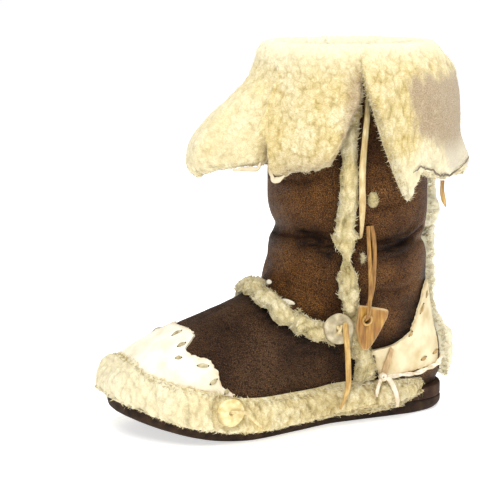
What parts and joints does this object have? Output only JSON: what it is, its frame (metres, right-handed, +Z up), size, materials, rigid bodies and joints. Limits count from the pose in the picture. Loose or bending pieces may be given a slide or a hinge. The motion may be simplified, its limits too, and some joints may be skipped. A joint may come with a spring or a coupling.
{
  "type": "sheepskin boot",
  "caption": "Left mid-calf sheepskin boot with folded wool cuffs, a wool rand round the sole, white toe cap and heel counters, horn toggle and thongs.",
  "frame": {"origin": "on the floor, under the middle of the boot's box in plan", "axes": "+Z up, the toe points along -X, the outer (lateral) side faces -Y"},
  "size_m": [0.3242, 0.1832, 0.3165],
  "materials": {
    "brown_leather": "napa sheepskin leather, finely grained, satin",
    "shearling": "long curly sheep's wool on the hide, matte",
    "cut_wool": "short cut edge of sheepskin, matte",
    "rawhide": "undyed white leather, satin",
    "sole_rubber": "smooth dark brown crepe rubber",
    "wedge_rubber": "smooth mid brown rubber",
    "thong_hide": "raw split hide, cut edges",
    "horn_button": "polished bone, slightly mottled",
    "horn_toggle": "polished horn with paler streaks"
  },
  "bodies": {
    "root": {"outsole": "sole_rubber", "heel_wedge": "wedge_rubber", "insole": "shearling", "upper": "brown_leather", "toe_cap": "rawhide", "counter_outer": "rawhide", "counter_inner": "rawhide", "fur_rand": "shearling", "instep_band": "cut_wool", "side_strip": "cut_wool", "back_strip": "shearling", "cuff_front": "shearling", "cuff_back": "shearling", "button_outer": "horn_button", "button_inner": "horn_button", "button_rand": "horn_button", "toggle": "horn_toggle", "heel_lace_outer": "rawhide", "heel_lace_inner": "rawhide", "lace_knot": "thong_hide", "lace_tail_long": "thong_hide", "lace_tail_short": "thong_hide", "thong_side": "thong_hide", "thong_toggle": "thong_hide", "thong_button": "thong_hide", "thong_rand": "thong_hide", "thong_inner": "thong_hide", "thong_cuff": "thong_hide"}
  },
  "joints": []
}
